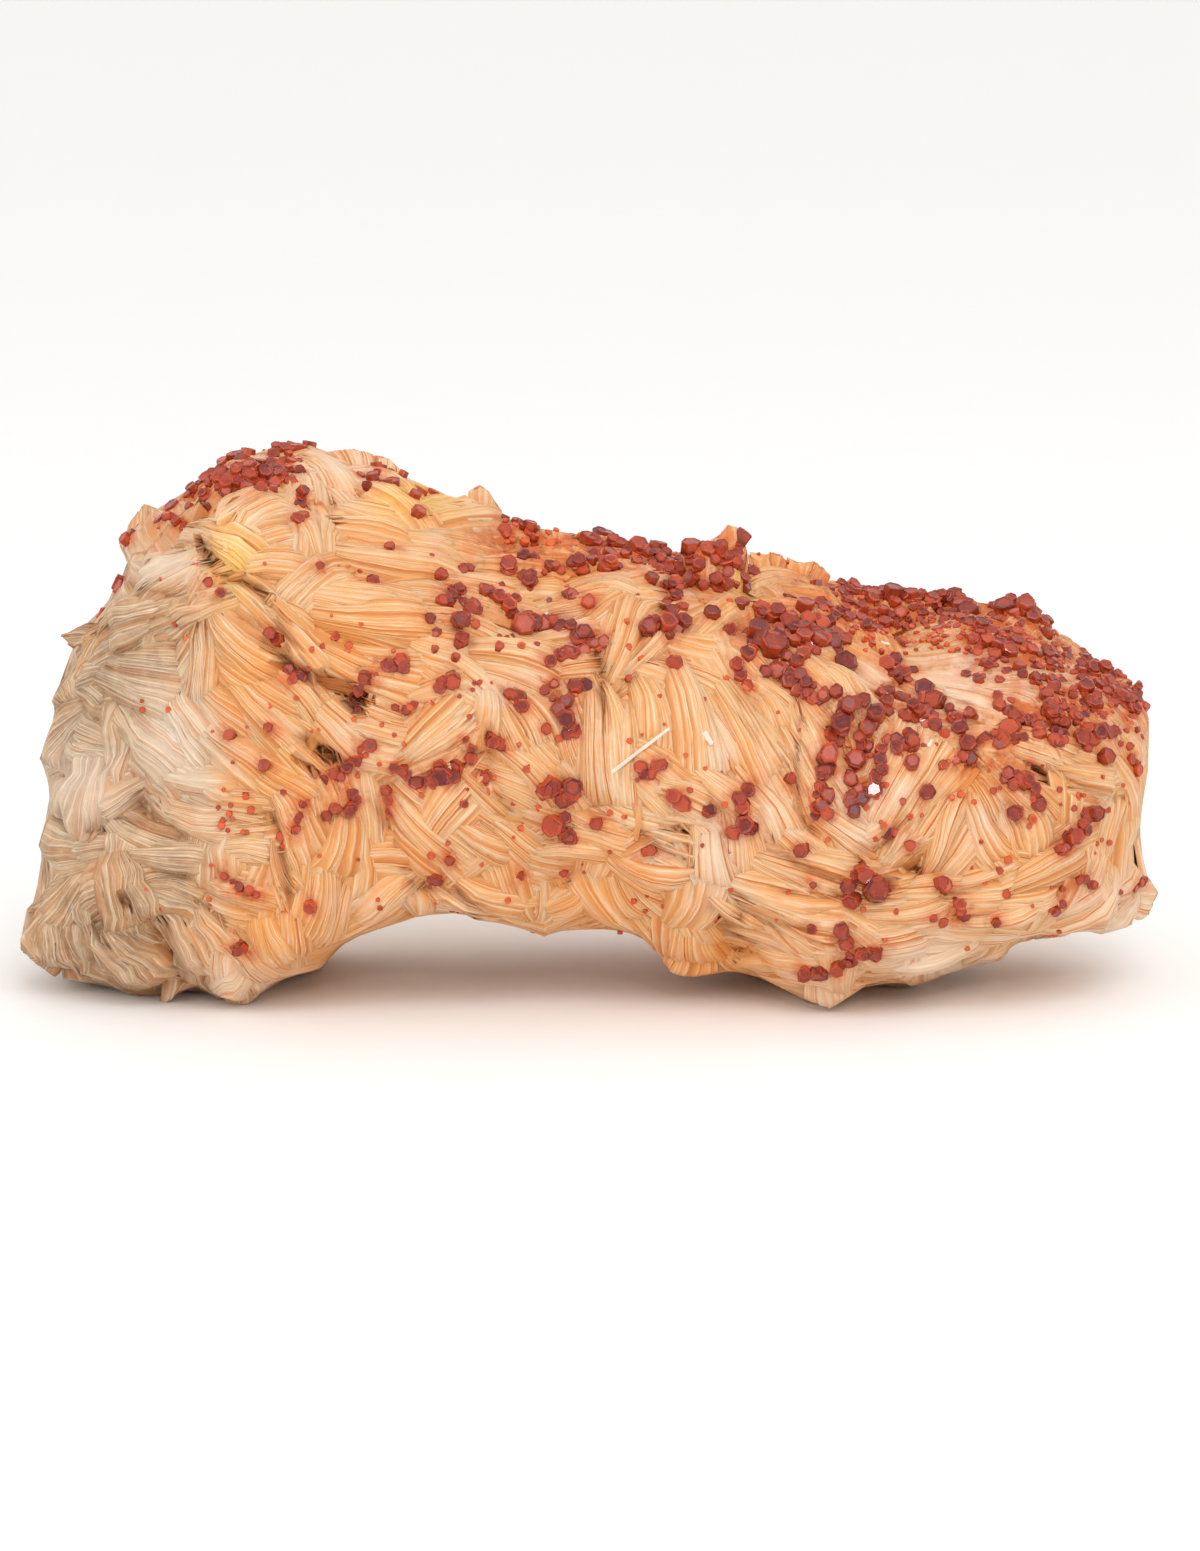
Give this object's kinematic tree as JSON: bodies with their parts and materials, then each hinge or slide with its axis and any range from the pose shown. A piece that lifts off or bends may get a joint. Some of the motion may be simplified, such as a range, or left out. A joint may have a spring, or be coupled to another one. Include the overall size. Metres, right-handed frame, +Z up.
{
  "type": "vanadinite on matrix",
  "caption": "Mineral specimen: lump of fan-shaped bladed barite, cream to peach, on natural feet beside a low arch, crusted with brown-red hexagonal vanadinite crystals; stands on a shelf.",
  "frame": {"origin": "under the middle of the specimen, on the surface it stands on", "axes": "+X to the right of the front face along the specimen's length, -Y out of the front face towards the viewer, +Z up"},
  "size_m": [0.1858, 0.082, 0.0882],
  "materials": {
    "barite": "satin, cream to peach, paler on blade edges",
    "vanadinite": "glossy to resinous, brown-red with orange-red thin edges"
  },
  "bodies": {
    "root": {"barite_matrix": "barite", "vanadinite_peak_crust": "vanadinite", "vanadinite_peak_row": "vanadinite", "vanadinite_shoulder_crust": "vanadinite", "vanadinite_upper_crevice": "vanadinite", "vanadinite_middle_hexagon": "vanadinite", "vanadinite_middle_pair": "vanadinite", "vanadinite_shelf_left": "vanadinite", "vanadinite_shelf_row": "vanadinite", "vanadinite_shelf_lone": "vanadinite", "vanadinite_upper_middle": "vanadinite", "vanadinite_shelf_great": "vanadinite", "vanadinite_ridge_crust": "vanadinite", "vanadinite_ridge_hexagon": "vanadinite", "vanadinite_crevice_cluster": "vanadinite", "vanadinite_middle_cluster": "vanadinite", "vanadinite_crevice_wall": "vanadinite", "vanadinite_dark_cluster": "vanadinite", "vanadinite_double_upper": "vanadinite", "vanadinite_double_lower": "vanadinite", "vanadinite_double_side": "vanadinite", "vanadinite_spire_crust": "vanadinite", "vanadinite_spire_edge": "vanadinite", "vanadinite_spire_foot": "vanadinite", "vanadinite_tall_fan_hexagon": "vanadinite", "vanadinite_spire_hexagon": "vanadinite", "vanadinite_lip_great": "vanadinite", "vanadinite_lip_crust": "vanadinite", "vanadinite_lip_hexagon": "vanadinite", "vanadinite_lip_under": "vanadinite", "vanadinite_dome_outer_row": "vanadinite", "vanadinite_dome_middle_row": "vanadinite", "vanadinite_dome_hexagon": "vanadinite", "vanadinite_dome_lone": "vanadinite", "vanadinite_lip_right": "vanadinite", "vanadinite_dome_edge": "vanadinite", "vanadinite_back_ridge": "vanadinite", "vanadinite_back_notch": "vanadinite", "vanadinite_back_peak": "vanadinite", "vanadinite_slope_row": "vanadinite", "vanadinite_far_crust": "vanadinite", "vanadinite_far_row": "vanadinite", "vanadinite_slope_lower": "vanadinite", "vanadinite_right_diagonal": "vanadinite", "vanadinite_right_drop": "vanadinite", "vanadinite_right_comb": "vanadinite", "vanadinite_column": "vanadinite", "vanadinite_lower_cluster": "vanadinite", "vanadinite_foot_row": "vanadinite"}
  },
  "joints": []
}
